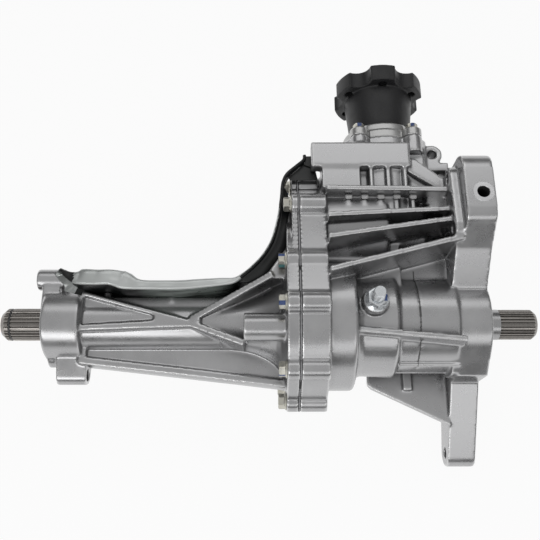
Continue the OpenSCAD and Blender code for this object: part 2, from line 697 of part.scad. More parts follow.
module case_bearing_cups() {
  color("#8e8e90") {
    cup_x(case_left_brg_x, bearing_w, case_cup_r, 31.3, -1);
    cup_x(case_right_brg_x, bearing_w, case_cup_r, 31.3, 1);
  }
}

module case_bearing_cones() {
  color("#9a9a9c") {
    cone_x(case_left_brg_x, bearing_w, hub_r, 24.5, -1);
    cone_x(case_right_brg_x, bearing_w, hub_r, 24.5, 1);
  }
}

module case_shims() {
  color("#777779") {
    xring(case_left_brg_x - shim_t, case_left_brg_x, case_cup_r - 0.2, case_cup_r - 5);
    xring(case_right_brg_x + bearing_w, case_right_end_x, case_cup_r - 0.2, case_cup_r - 5);
  }
}

module counter_bearing_cups() {
  color("#8e8e90") at_counter() {
    cup_x(counter_left_x, counter_brg_w, counter_cup_r, 22.3, -1);
    cup_x(counter_right_x, pinion_brg_w, counter_cup_r, 22.3, 1);
  }
}

module counter_bearing_cones() {
  color("#9a9a9c") at_counter() {
    cone_x(counter_left_x, counter_brg_w, counter_shaft_r, 15.5, -1);
    cone_x(counter_right_x, pinion_brg_w, counter_shaft_r, 15.5, 1);
  }
}

// The same bearings turned on to the Y axis
module on_pinion_axis() { at_input() rotate([0, 0, 90]) children(); }

module pinion_bearing_cups() {
  color("#8e8e90") on_pinion_axis() {
    cup_x(front_brg_y, pinion_brg_w, pinion_cup_r, 25.3, -1);
    cup_x(rear_brg_y, pinion_brg_w, pinion_cup_r, 25.3, 1);
  }
}

module pinion_bearing_cones() {
  color("#9a9a9c") on_pinion_axis() {
    cone_x(front_brg_y, pinion_brg_w, pinion_journal_r, 18.5, -1);
    cone_x(rear_brg_y, pinion_brg_w, pinion_journal_r, 18.5, 1);
  }
}

module pinion_spacer() {
  color("#9a9a9c") at_input()
    yring(front_brg_y + pinion_brg_w - 0.48, rear_brg_y + 0.48, 17, pinion_journal_r);
}

module ball_outer(x0, w) {
  difference() {
    xring(x0, x0 + w, ball_r, 23.8);
    on_x(x0 + w / 2) rotate_extrude() translate([21.5, 0]) circle(3.4, $fn = 32);
  }
  for (k = [0 : 10]) rotate([k * 360 / 11, 0, 0])
    translate([x0 + w / 2, 0, 21.5]) sphere(r = 3.3, $fn = 24);
}
module ball_inner(x0, w) {
  difference() {
    xring(x0, x0 + w, 19.4, seat_r);
    on_x(x0 + w / 2) rotate_extrude() translate([21.5, 0]) circle(3.4, $fn = 32);
  }
}

module output_bearing_rings() {
  color("#8e8e90") {
    ball_outer(left_brg_x, ball_w);
    ball_outer(right_brg_x, ball_w);
  }
}
module left_bearing_race() { color("#9a9a9c") ball_inner(left_brg_x, ball_w); }
module right_bearing_race() { color("#9a9a9c") ball_inner(right_brg_x, ball_w); }

module housing_stud() {
  color("#cfd2d4") translate([stud_at[0], stud_at[1], 0]) {
    translate([0, 0, stud_seat_z - 14]) cylinder(r = stud_r, h = stud_nut_h + 14.3);
    translate([0, 0, stud_seat_z + stud_nut_h + 0.3 - eps])
      cylinder(r1 = stud_r, r2 = stud_end_r, h = stud_taper);
    translate([0, 0, stud_seat_z]) cylinder(r = stud_end_r, h = stud_top_z - stud_seat_z - 1);
    translate([0, 0, stud_top_z - 1 - eps]) cylinder(r1 = stud_end_r, r2 = stud_end_r - 0.8, h = 1);
  }
}
module stud_nut() {
  color("#cfd2d4") translate([stud_at[0], stud_at[1], stud_seat_z]) difference() {
    union() {
      cylinder(r1 = 10.8, r2 = 9.4, h = 2.5);
      cylinder(r = 9.2, h = stud_nut_h, $fn = 6);
    }
    translate([0, 0, -1]) cylinder(r = stud_r + fit, h = stud_nut_h + 2);
  }
}

module drain_plug() {
  color("#777779") translate([drain_at[0], drain_at[1], drain_z]) difference() {
    union() {
      cylinder(r = 9, h = 12);
      translate([0, 0, -4]) cylinder(r = 12, h = 4);
    }
    translate([0, 0, -5]) cylinder(r = 4.6, h = 8, $fn = 6);
  }
}

// Strip along the shield path up to the station last. Each side lies on the wall, or follows
// the outer edge of the lip.
function shield_dir(i) =
  let (a = shield_path[max(0, i - 1)], b = shield_path[min(len(shield_path) - 1, i + 1)],
       d = [b[0] - a[0], b[1] - a[1]])
  [-d[1], d[0]] / norm(d);
function shield_point(i, out) = [joint_x + shield_path[i][0], shield_path[i][1]] + out * shield_dir(i);
module shield_strip(from_lip, to_lip, low, top, last) {
  translate([0, 0, low]) linear_extrude(height = top - low) polygon(concat(
    [for (i = [0 : last]) shield_point(i, from_lip ? shield_path[i][2] - shield_t : 0)],
    [for (i = [last : -1 : 0]) shield_point(i, to_lip ? shield_path[i][2] : shield_t)]));
}

module heat_shield() {
  color("#1c1d1e") difference() {
    union() {
      shield_strip(false, false, -12, shield_z, len(shield_path) - 1);
      difference() {
        union() {
          shield_strip(false, true, shield_z - shield_t, shield_z, shield_lip_end);
          shield_strip(true, true, shield_z - 7, shield_z, shield_lip_end);
        }
        translate([joint_x - 54, 0, 0]) cube([60, 80, 80]);
      }
      // Tab under the block and the flap that hangs from it
      translate([joint_x, 0, block_z - 0.05 - shield_t]) linear_extrude(height = shield_t)
        polygon([[1.9, 149.2], [4.6, 151.7], [9, 158], [21.6, 158], [21.6, 148], [12, 146], [4, 146]]);
      translate([joint_x, 0, 37]) linear_extrude(height = block_z - 0.05 - 37)
        polygon([[14, 149], [15.5, 149], [20, 126], [18.5, 126]]);
    }
    translate([collar_x - 20, 0, 0]) cube([39, 80, 80]);
    // The foot of the sheet follows the tube and the flange
    translate([0, 60, 0]) rotate([90, 0, 0]) linear_extrude(height = 60)
      polygon([[collar_x + 8, -50], [collar_x + 8, 38], [collar_x + 28, 35], [collar_x + 50, 17],
               [joint_x - 64, 17], [joint_x - 48, -15], [joint_x - 48, -50]]);
    on_x(joint_x - 40) linear_extrude(height = 70)
      polygon([[108, -50], [106, -14], [122, 34], [144, 36.5], [170, 36.5], [170, -50]]);
    for (p = shield_screws_at) translate([p[0], 0, shield_screw_z]) ycyl(p[1] - 2, p[1] + 5, clip_r + fit);
    translate([clip_at[0], clip_at[1], block_z - 5]) cylinder(r = clip_r + fit, h = 10);
  }
}

module clip_screw() {
  cylinder(r = 3.6, h = 2.6);
  translate([0, 0, -8]) cylinder(r = clip_r, h = 8 + eps);
}
module shield_screws() {
  color("#777779") {
    for (p = shield_screws_at)
      translate([p[0], p[1] + shield_t, shield_screw_z]) rotate([-90, 0, 0]) clip_screw();
    translate([clip_at[0], clip_at[1], block_z - 0.05 - shield_t]) rotate([180, 0, 0]) clip_screw();
  }
}

module differential_case() {
  color("#7d7d80") difference() {
    union() {
      xcyl(case_x - case_half, case_x + case_half, case_r);
      xcyl(case_x - case_half - left_hub_len, case_x + case_half + right_hub_len, hub_r);
      xcyl(case_x - case_half, case_x - case_half + 6, case_flange_r);
    }
    xcyl(case_x - case_half + 6, case_x + case_half - 6, case_in_r);
    xcyl(case_x - 80, case_x + 60, shaft_r + 2.5);
    for (s = [-1, 1]) translate([case_x, 0, 0]) xcyl(s > 0 ? 20 : -26, s > 0 ? 26 : -20, 22);
    translate([case_x, 0, -50]) cylinder(r = 8 + fit, h = 100);
    translate([case_x, 0, -case_in_r]) cylinder(r = 18, h = 2 * case_in_r);
    translate([case_x, -50, 0]) rotate([-90, 0, 0]) cylinder(r = 18, h = 100);
    final_bolts_at() xcyl(case_x - case_half - 1, case_x - case_half + 7, 3 + fit);
  }
}

module final_bolts_at() {
  for (k = [0 : 7]) rotate([k * 45 + 22.5, 0, 0]) translate([0, 0, 44]) children();
}

module final_gear() {
  color("#8a8a8e") difference() {
    on_x(final_gear_x) linear_extrude(height = final_gear_t)
      spur_profile(final_teeth, spur_module, mesh_angle);
    xcyl(final_gear_x - 1, final_gear_x + final_gear_t + 1, hub_r + 0.02);
    xring(final_gear_x - 1, final_gear_x + 7, 51, 28);
    final_bolts_at() xcyl(final_gear_x - 1, final_gear_x + final_gear_t + 1, 3 + fit);
  }
}

module final_gear_bolts() {
  color("#5f5f62") final_bolts_at() {
    xcyl(final_gear_x + 7, case_x - case_half + 5, 3);
    xcyl(final_gear_x + 3, final_gear_x + 7, 4.8);
  }
}

module cross_pin() {
  color("#9a9a9c") difference() {
    translate([case_x, 0, 1 - case_r]) cylinder(r = 8, h = 2 * case_r - 2);
    translate([case_x - 20, 0, 34.5]) rotate([0, 90, 0]) cylinder(r = 2, h = 40);
  }
}
module cross_pin_lock() {
  color("#5f5f62") xpin();
}
module xpin() { translate([0, 0, 34.5]) xcyl(case_x - 7.5, case_x + 7.5, 1.95); }

module spider_gear() {
  difference() {
    intersection() {
      bevel_gear(spider_teeth, spider_module, spider_cone, spider_face, 6, 12);
      cylinder(r = 40, h = case_in_r - 0.3);
    }
    cylinder(r = 8 + fit, h = 80);
  }
}
module upper_spider_gear() { color("#909094") translate([case_x, 0, 0]) spider_gear(); }
module lower_spider_gear() {
  color("#909094") translate([case_x, 0, 0]) mirror([0, 0, 1]) spider_gear();
}

module side_gear() {
  difference() {
    intersection() {
      on_x() bevel_gear(side_teeth, spider_module, side_cone, spider_face, 5, 21, 180 / side_teeth);
      xcyl(8, 24.8, 28);
    }
    xcyl(-1, 60, shaft_r);
  }
}
module left_side_gear() { color("#909094") translate([case_x, 0, 0]) mirror([1, 0, 0]) side_gear(); }
module right_side_gear() { color("#909094") translate([case_x, 0, 0]) side_gear(); }

module spline_profile(r, n) {
  depth = 1.3;
  polygon([for (k = [0 : n - 1]) for (p = [[-0.36, -depth], [-0.17, 0], [0.17, 0], [0.36, -depth]])
    let (a = 360 * (k + p[0]) / n) (r + p[1]) * [cos(a), sin(a)]]);
}

module left_shaft() {
  tip = collar_x - left_stub;
  color("#6f6a66") difference() {
    union() {
      xcyl(collar_x + 26, case_x - 8.2, shaft_r);
      xcone(collar_x + 24, collar_x + 26 + eps, seat_r, shaft_r);
      xcyl(collar_x - 2, collar_x + 24 + eps, seat_r);
      intersection() {
        on_x(tip) linear_extrude(height = left_stub - 2 + eps) spline_profile(15.2, spline_n);
        xturn([[0, tip], [11, tip], [15.3, tip + 5], [15.3, collar_x], [0, collar_x]]);
      }
    }
    on_x(tip + 8) difference() {
      cylinder(r = 20, h = 2.2);
      translate([0, 0, -1]) cylinder(r = 13, h = 5);
    }
    xcone(tip - eps, tip + 3, 4, 0.5);
  }
}

module snap_ring(x0, r_in, r_out) {
  difference() {
    xring(x0, x0 + 1.6, r_out, r_in);
    translate([x0 - 1, -2.5, -30]) cube([4, 5, 25]);
  }
}
module left_snap_ring() { color("#2b2b2b") snap_ring(collar_x - left_stub + 8.3, 13, 14.8); }

module right_shaft() {
  tip = journal_len + right_spline_len;
  color("#6f6a66") difference() {
    union() {
      xcyl(case_x + 8.2, -30, shaft_r);
      xcone(-30 - eps, -28, shaft_r, seat_r);
      xcyl(-28 - eps, 0, seat_r);
      xcyl(-eps, journal_len + eps, journal_r);
      intersection() {
        on_x(journal_len - 2) linear_extrude(height = right_spline_len + 2)
          spline_profile(journal_r - 0.3, spline_n);
        xturn([[0, journal_len - 3], [16, journal_len - 3], [16, tip - 6], [12.5, tip - 1.5],
               [10.5, tip + 1], [0, tip + 1]]);
      }
    }
    xcone(tip - 3, tip + eps, 0.5, 4);
    on_x(case_x + 12) difference() {
      cylinder(r = 20, h = 2);
      translate([0, 0, -1]) cylinder(r = 12, h = 5);
    }
  }
}
module right_snap_ring() { color("#2b2b2b") snap_ring(case_x + 12.2, 12, 13.4); }

module countershaft() {
  color("#86868a") at_counter() difference() {
    union() {
      xcyl(counter_left_x + 0.5, counter_right_x + 14.5, counter_shaft_r);
      xcyl(cover_x + 1.5, input_x - ring_shoulder, counter_step_r);
    }
  }
}

module counter_gear() {
  color("#8a8a8e") at_counter() difference() {
    on_x(final_gear_x + 0.5) linear_extrude(height = counter_gear_t)
      spur_profile(counter_teeth, spur_module, mesh_angle + 180 + 180 / counter_teeth);
    xcyl(final_gear_x - 1, final_gear_x + 30, counter_step_r);
  }
}

module bevel_ring_gear() {
  color("#8a8a8e") translate([input_x, counter_y, counter_z]) mirror([1, 0, 0]) difference() {
    on_x() bevel_gear(ring_teeth, bevel_module, ring_cone, bevel_face, 13, 30, 180 / ring_teeth);
    xcyl(-1, 60, counter_shaft_r);
    xcyl(ring_shoulder, 60, counter_step_r);
  }
}

module counter_nut() {
  color("#5f5f62") at_counter() difference() {
    xcyl(counter_right_x - 5, counter_right_x, 17);
    xcyl(counter_right_x - 6, counter_right_x + 1, counter_shaft_r);
  }
}

module pinion_shaft() {
  color("#86868a") at_input() difference() {
    union() {
      translate([0, counter_y, 0]) on_y()
        bevel_gear(pinion_teeth, bevel_module, pinion_cone, bevel_face, 4.5, 15, 180);
      ycyl(pinion_front_y - 1, front_brg_y + 0.5, 17);
      ycyl(pinion_front_y - 1, input_face_y - 14, pinion_journal_r);
      ycyl(input_face_y - 14 - eps, input_face_y + 6, 9);
    }
  }
}

module input_flange() {
  color("#202021") at_input() difference() {
    union() {
      ycyl(rear_brg_y + pinion_brg_w - 0.5, retainer_end_y + 4, hub_outer_r);
      on_y(retainer_end_y + 3) cylinder(r1 = 30.5, r2 = 35, h = rim_y - retainer_end_y - 3 + eps);
      on_y(rim_y) linear_extrude(height = rim_t) difference() {
        circle(input_flange_r);
        for (k = [0 : 5]) rotate(k * 60 + 60) translate([input_flange_r + 5.5, 0]) circle(13.2);
      }
    }
    ycyl(100, input_face_y + 1, pinion_journal_r);
    on_y(input_face_y - 14) cylinder(r = 24, h = 20);
    on_y(rim_y) for (k = [0 : 5]) rotate(k * 60 + 30) translate([input_holes_circle_r, 0, -1])
      cylinder(r = 4, h = rim_t + 2);
  }
}

module pinion_nut() {
  color("#5f5f62") at_input() difference() {
    union() {
      on_y(input_face_y - 14) cylinder(r = 16, h = nut_t, $fn = 6);
      ycyl(input_face_y - 14, input_face_y - 11, 17);
    }
    ycyl(input_face_y - 20, input_face_y + 5, 9);
  }
}

module dust_slinger() {
  color("#2b2b2b") at_input() yring(retainer_end_y + 0.8, retainer_end_y + 2.8, 33, hub_outer_r);
}

carrier_housing();
axle_tube();
joint_gasket();
flange_bolts();
flange_dowels();
pinion_retainer();
retainer_bolts();
pinion_seal();
left_seal();
right_seal();
case_bearing_cups();
case_shims();
counter_bearing_cups();
pinion_bearing_cups();
output_bearing_rings();
housing_stud();
stud_nut();
drain_plug();
heat_shield();
shield_screws();
differential_case();
final_gear();
final_gear_bolts();
case_bearing_cones();
cross_pin();
cross_pin_lock();
upper_spider_gear();
lower_spider_gear();
left_side_gear();
left_shaft();
left_snap_ring();
left_bearing_race();
right_side_gear();
right_shaft();
right_snap_ring();
right_bearing_race();
countershaft();
counter_gear();
bevel_ring_gear();
counter_bearing_cones();
counter_nut();
pinion_shaft();
pinion_bearing_cones();
pinion_spacer();
input_flange();
pinion_nut();
dust_slinger();
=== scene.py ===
"""Front differential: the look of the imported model, in metres and in the model's own frame.

Shapes are worked out in millimetres, and MM turns them into metres where a mesh is made.
"""
import json
import math

import bmesh
import bpy
from mathutils import Matrix, Vector


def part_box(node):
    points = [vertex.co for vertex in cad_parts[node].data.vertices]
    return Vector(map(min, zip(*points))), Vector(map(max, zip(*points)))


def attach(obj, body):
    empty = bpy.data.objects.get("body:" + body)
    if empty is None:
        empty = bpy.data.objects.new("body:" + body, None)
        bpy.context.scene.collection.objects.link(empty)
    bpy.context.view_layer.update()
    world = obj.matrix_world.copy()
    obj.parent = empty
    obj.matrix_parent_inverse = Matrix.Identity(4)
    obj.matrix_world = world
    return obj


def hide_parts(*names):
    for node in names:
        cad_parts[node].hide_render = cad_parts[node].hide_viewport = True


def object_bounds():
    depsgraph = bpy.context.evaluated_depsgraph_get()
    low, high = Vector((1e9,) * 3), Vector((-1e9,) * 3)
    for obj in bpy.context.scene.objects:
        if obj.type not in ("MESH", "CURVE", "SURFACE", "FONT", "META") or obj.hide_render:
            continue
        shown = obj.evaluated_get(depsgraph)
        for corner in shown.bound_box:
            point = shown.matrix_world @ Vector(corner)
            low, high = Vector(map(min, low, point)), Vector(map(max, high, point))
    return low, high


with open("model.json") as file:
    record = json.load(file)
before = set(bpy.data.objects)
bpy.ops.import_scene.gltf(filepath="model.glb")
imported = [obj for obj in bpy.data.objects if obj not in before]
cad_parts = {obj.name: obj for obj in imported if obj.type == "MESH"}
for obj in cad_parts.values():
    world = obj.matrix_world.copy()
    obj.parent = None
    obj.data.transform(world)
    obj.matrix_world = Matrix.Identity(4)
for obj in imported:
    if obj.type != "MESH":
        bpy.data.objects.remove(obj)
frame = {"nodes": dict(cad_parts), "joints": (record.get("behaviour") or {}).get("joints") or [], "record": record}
cad_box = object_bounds()
nodes = frame["nodes"]
scene = bpy.context.scene
MM = 0.001

# Camera at the photo's angle, 20 degrees in front of straight down
CAMERA_TILT = 20
CAMERA_PLACE = (-0.199, -0.1786, 0.6428)
FILM_WIDTH, LENS = 36, 46.667
camera_data = bpy.data.cameras.new("camera")
camera_data.sensor_width = FILM_WIDTH
camera_data.lens = LENS
camera = bpy.data.objects.new("camera", camera_data)
camera.location = CAMERA_PLACE
camera.rotation_euler = (math.radians(CAMERA_TILT), 0, 0)
scene.collection.objects.link(camera)
scene.camera = camera


# Materials
NOISE_SPREAD = (0.3, 0.7)       # where most of a noise lies
CREST = (0.508, 0.555)          # pointiness, which is 0.5 on flat faces, from flat to a sharp edge
CORNER = (0.42, 0.48)           # and from a sharp inner corner to flat
# Pale colour painted on sharp edges: painted highlight
EDGE_HIGHLIGHT = (0.85, 0.85, 0.85)
# Dark colour painted into sharp inner corners: painted shade
CORNER_SHADE = (0.09, 0.09, 0.09)
DEEP_SHADE = (0.04, 0.04, 0.041)
ALLOY_SPECK = (0.25, 0.25, 0.255)
LINE_LENGTH = 60                # noise scale along the lines of a turned or milled face


class Shader:
    """Builds a node material round one Principled shader."""

    def __init__(self, name):
        self.material = bpy.data.materials.new(name)
        self.material.use_nodes = True
        self.tree = self.material.node_tree
        self.bsdf = self.tree.nodes["Principled BSDF"]
        self.place = self.node("ShaderNodeTexCoord").outputs["Object"]

    def node(self, kind, **values):
        made = self.tree.nodes.new(kind)
        for key, value in values.items():
            if key in made.inputs:
                made.inputs[key].default_value = value
            else:
                setattr(made, key, value)
        return made

    def link(self, out, into):
        self.tree.links.new(out, into)

    def set(self, **values):
        for key, value in values.items():
            self.bsdf.inputs[key].default_value = value
        return self

    def noise(self, scale, detail=3.0, rough=0.5, stretch=None):
        """Noise of the given scale per metre; stretch gives it one scale per axis."""
        made = self.node("ShaderNodeTexNoise", Scale=scale, Detail=detail, Roughness=rough)
        place = self.place
        if stretch:
            mapping = self.node("ShaderNodeMapping")
            mapping.inputs["Scale"].default_value = stretch
            self.link(place, mapping.inputs["Vector"])
            place = mapping.outputs["Vector"]
        self.link(place, made.inputs["Vector"])
        return made.outputs["Fac"]

    def ramp(self, fac, stops):
        made = self.node("ShaderNodeValToRGB")
        ramp = made.color_ramp
        while len(ramp.elements) < len(stops):
            ramp.elements.new(0.5)
        for element, (at, colour) in zip(ramp.elements, stops):
            element.position = at
            element.color = (*colour, 1) if isinstance(colour, tuple) else (colour,) * 3 + (1,)
        self.link(fac, made.inputs["Fac"])
        return made.outputs["Color"]

    def span(self, fac, to, of=NOISE_SPREAD):
        """Turns the range of into the range to, and stays at its ends beyond them."""
        made = self.node("ShaderNodeMapRange")
        made.inputs["From Min"].default_value, made.inputs["From Max"].default_value = of
        made.inputs["To Min"].default_value, made.inputs["To Max"].default_value = to
        self.link(fac, made.inputs["Value"])
        return made.outputs["Result"]

    def feed(self, value, socket):
        """A plain number, a colour or another node's output into a socket."""
        if isinstance(value, tuple):
            socket.default_value = (*value, 1)
        elif isinstance(value, (int, float)):
            socket.default_value = value
        else:
            self.link(value, socket)

    def mix(self, fac, a, b):
        made = self.node("ShaderNodeMix", data_type="RGBA", blend_type="MIX")
        for value, socket in ((fac, 0), (a, 6), (b, 7)):
            self.feed(value, made.inputs[socket])
        return made.outputs[2]

    def math(self, operation, a, b):
        made = self.node("ShaderNodeMath", operation=operation)
        self.feed(a, made.inputs[0])
        self.feed(b, made.inputs[1])
        return made.outputs[0]

    def hollow(self, reach):
        """1 in the open, less where the shape closes in within reach metres."""
        return self.node("ShaderNodeAmbientOcclusion", samples=8, Distance=reach).outputs["AO"]

    def pointiness(self):
        return self.node("ShaderNodeNewGeometry").outputs["Pointiness"]

    def colour(self, out):
        self.link(out, self.bsdf.inputs["Base Color"])
        return self

    def rough(self, out):
        self.link(out, self.bsdf.inputs["Roughness"])
        return self

    def bump(self, layers):
        """layers: (height socket, depth in metres) pairs, stacked."""
        normal = None
        for height, depth in layers:
            made = self.node("ShaderNodeBump", Strength=1.0, Distance=depth)
            self.link(height, made.inputs["Height"])
            if normal:
                self.link(normal, made.inputs["Normal"])
            normal = made.outputs["Normal"]
        self.link(normal, self.bsdf.inputs["Normal"])
        return self


def scaled(colour, share):
    return tuple(c * share for c in colour)


def cast_aluminium(name, light, dark, rough, grain=0.00006):
    """Poured alloy: cloudy grey, with painted highlights on its edges and painted shade in its corners and
    hollows.
    """
    s = Shader(name).set(Metallic=0.92)
    cloud = s.noise(38, 4, 0.55)
    speck = s.noise(900, 2, 0.6)
    edge = s.pointiness()
    body = s.ramp(s.span(cloud, (0, 1), of=(0.32, 0.68)), [(0, dark), (1, light)])
    # Painted highlight: sharp edges turn pale
    painted_sheen = s.mix(s.span(edge, (0, 0.75), of=CREST), body, EDGE_HIGHLIGHT)
    # Painted shade: sharp inner corners turn dark
    corner_shade = s.mix(s.span(edge, (0.25, 0), of=CORNER), painted_sheen, CORNER_SHADE)
    # Painted shade in hollows, where the shape closes in
    deep = s.mix(s.span(s.hollow(0.02), (0.45, 0), of=(0.25, 0.75)), corner_shade, DEEP_SHADE)
    s.colour(s.mix(s.span(speck, (0, 0.08), of=(0.5, 0.75)), deep, ALLOY_SPECK))
    s.rough(s.span(cloud, (rough - 0.03, rough + 0.05)))
    return s.bump([(speck, grain), (s.noise(260), grain * 2.2)]).material


def machined(name, base, rough, axis, pitch=0.0006):
    """Turned or milled metal: fine lines across the given axis, pitch metres apart."""
    stretch = [LINE_LENGTH] * 3
    stretch["xyz".index(axis)] = 1 / pitch
    s = Shader(name).set(Metallic=0.95)
    lines = s.noise(1.0, 2, 0.5, stretch)
    s.colour(s.mix(s.span(lines, (0, 0.5)), base, scaled(base, 0.72)))
    s.rough(s.span(s.noise(90), (rough - 0.04, rough + 0.08)))
    return s.bump([(lines, 0.00001)]).material


def plated(name, base, tint, rough):
    """Zinc plating with a cloudy tint."""
    s = Shader(name).set(Metallic=0.9)
    cloud = s.noise(240, 4, 0.6)
    s.colour(s.mix(s.span(cloud, (0, 0.8)), base, tint))
    s.rough(s.span(s.noise(500, 2), (rough - 0.05, rough + 0.1)))
    return s.bump([(cloud, 0.00002)]).material


def coated(name, base, rough, grain):
    """Black coat over metal, rubbed grey on sharp edges."""
    s = Shader(name).set(Metallic=0.0)
    speck = s.noise(700, 3, 0.6)
    body = s.mix(s.span(speck, (0, 1)), base, scaled(base, 1.6))
    s.colour(s.mix(s.span(s.pointiness(), (0, 0.35), of=(0.53, 0.62)), body, (0.12, 0.12, 0.122)))
    s.rough(s.span(s.noise(60), (rough - 0.06, rough + 0.08)))
    return s.bump([(speck, grain)]).material


def black_sheet(name):
    """Black coated sheet, with a pale painted sheen in streaks along the middle of the wall."""
    s = Shader(name).set(Metallic=0.0)
    split = s.node("ShaderNodeSeparateXYZ")
    s.link(s.place, split.inputs[0])
    # Painted reflection: pale streaks of sheen, only between these x along the wall
    left = s.span(split.outputs["X"], (0, 1), of=(-0.320, -0.300))
    right = s.span(split.outputs["X"], (1, 0), of=(-0.250, -0.232))
    streak = s.span(s.noise(1.0, 3, 0.6, (25, 60, 220)), (0, 0.8), of=(0.35, 0.65))
    painted_sheen = s.math("MULTIPLY", s.math("MULTIPLY", left, right), streak)
    s.colour(s.mix(painted_sheen, (0.006, 0.007, 0.007), (0.30, 0.35, 0.32)))
    s.rough(s.span(s.noise(60), (0.26, 0.4)))
    return s.bump([(s.noise(700, 3, 0.6), 0.00002)]).material


def splined(name):
    """Oiled spline steel, bright on the teeth, with painted shade between them."""
    s = Shader(name).set(Metallic=0.9)
    lines = s.noise(1.0, 2, 0.5, (1600, LINE_LENGTH, LINE_LENGTH))
    tooth = s.mix(s.span(lines, (0, 0.5)), (0.36, 0.34, 0.32), (0.24, 0.225, 0.21))
    # Painted shade: near black where the teeth close in
    between = s.span(s.hollow(0.003), (0.95, 0), of=(0.3, 0.8))
    s.colour(s.mix(between, tooth, (0.012, 0.011, 0.01)))
    s.rough(s.span(s.noise(90), (0.26, 0.4)))
    return s.bump([(lines, 0.00001)]).material


def rubber(name):
    s = Shader(name).set(Metallic=0.0)
    speck = s.noise(800, 2)
    s.colour(s.mix(s.span(speck, (0, 1)), (0.018, 0.018, 0.018), (0.035, 0.035, 0.035)))
    s.rough(s.span(speck, (0.55, 0.75)))
    return s.bump([(speck, 0.00003)]).material


def paint_dab(name, colour):
    s = Shader(name).set(Metallic=0.0)
    cloud = s.noise(900, 3, 0.6)
    s.colour(s.mix(s.span(cloud, (0, 1)), colour, scaled(colour, 0.55)))
    s.rough(s.span(cloud, (0.3, 0.5)))
    return s.bump([(cloud, 0.00005)]).material


def silver_sheet(name):
    """Bare, slightly wavy aluminised sheet of the folded lip."""
    s = Shader(name).set(Metallic=0.75)
    wave = s.noise(16, 2, 0.4)
    fine = s.noise(420, 3, 0.6)
    s.colour(s.mix(s.span(wave, (0, 1), of=(0.35, 0.65)), (0.50, 0.52, 0.51), (0.66, 0.68, 0.67)))
    s.rough(s.span(fine, (0.3, 0.42)))
    return s.bump([(wave, 0.0012), (fine, 0.00002)]).material


def sealed_joint(name):
    """Gasket edge: the grey of the castings, with dark spots of squeezed-out sealant."""
    s = Shader(name).set(Metallic=0.5)
    blot = s.noise(45, 3, 0.6)
    s.colour(s.ramp(blot, [(0.57, (0.36, 0.36, 0.37)), (0.63, (0.06, 0.06, 0.062))]))
    s.rough(s.span(blot, (0.4, 0.6)))
    return s.bump([(s.noise(300, 3, 0.6), 0.0002)]).material


FINE_GRAIN = 0.000006
CAST = cast_aluminium("cast_aluminium", (0.48, 0.48, 0.485), (0.42, 0.42, 0.425), 0.27, FINE_GRAIN)
CAST_PLATE = cast_aluminium("cast_plate", (0.5, 0.5, 0.495), (0.42, 0.42, 0.415), 0.3, FINE_GRAIN)
FACED = machined("faced_aluminium", (0.66, 0.66, 0.67), 0.28, "y")
# Painted shade: a dark finish for the faces of the groove round the body
GROOVE_SHADE = cast_aluminium("groove_shade", (0.16, 0.16, 0.16), (0.11, 0.11, 0.11), 0.5)
# Painted shade: near-black for the wall inside the upright hole
HOLE_SHADE = coated("hole_shadow", (0.012, 0.012, 0.012), 0.7, 0.00002)
ZINC = plated("zinc_yellowish", (0.62, 0.6, 0.52), (0.5, 0.5, 0.47), 0.32)
BRIGHT_ZINC = plated("zinc_bright", (0.74, 0.76, 0.78), (0.66, 0.69, 0.71), 0.26)
BLACK_FLANGE = coated("black_coat", (0.012, 0.012, 0.013), 0.46, 0.00005)
BLACK_SHEET = black_sheet("black_sheet")
SILVER_LIP = silver_sheet("silver_lip")
SPLINE = splined("spline_steel")
JOURNAL = machined("journal_steel", (0.42, 0.42, 0.425), 0.26, "x", 0.0004)
STEEL = machined("oiled_steel", (0.3, 0.3, 0.31), 0.35, "x", 0.0008)
GROUND = machined("ground_steel", (0.52, 0.52, 0.53), 0.25, "x", 0.0005)
IRON = cast_aluminium("case_iron", (0.2, 0.2, 0.21), (0.15, 0.15, 0.155), 0.5)
RUBBER = rubber("seal_rubber")
GASKET = sealed_joint("gasket_grey")
BLUE = paint_dab("blue_dab", (0.06, 0.11, 0.30))
TEAL = paint_dab("teal_dab", (0.09, 0.24, 0.24))

# The finish of each material slot of the record
SLOT_MATERIAL = {
    "cast_alloy": CAST,
    "retainer_alloy": CAST_PLATE,
    "gasket_black": GASKET,
    "bolt_zinc": ZINC,
    "stud_zinc": BRIGHT_ZINC,
    "dark_steel": STEEL,
    "seal_rubber": RUBBER,
    "bearing_steel": GROUND,
    "shield_sheet": BLACK_SHEET,
    "case_iron": IRON,
    "gear_steel": STEEL,
    "shaft_steel": SPLINE,
    "ring_black": BLACK_FLANGE,
    "flange_black": BLACK_FLANGE,
}


# Helpers for pieces
SHARP_ANGLE = 38        # degrees; edges above it stay sharp
FACING_LEFT = Matrix.Rotation(math.radians(-90), 4, "Y")    # +Z to -X
FACING_REAR = Matrix.Rotation(math.radians(-90), 4, "X")    # +Z to +Y


def in_mm(place):
    """A place of the frame, in millimetres."""
    return Vector([round(v / MM, 4) for v in place])


def box_mm(node):
    low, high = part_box(node)
    return in_mm(low), in_mm(high)


def centre_mm(node):
    low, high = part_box(node)
    return in_mm((low + high) / 2)


def joint_mm(name):
    return in_mm(next(joint["pos_m"] for joint in frame["joints"] if joint["name"] == name))


def paint_faces(mesh, materials, choose=None):
    """Gives each face the material that choose(centre, face) names, by index."""
    mesh.materials.clear()
    for material in materials:
        mesh.materials.append(material)
    if choose:
        for face in mesh.polygons:
            face.material_index = choose(face.center / MM, face)


def place_piece(obj, body, replaced=()):
    """The body that a piece rides on, and the nodes it stands for, which are hidden."""
    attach(obj, body)
    if replaced:
        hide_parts(*replaced)
    return obj


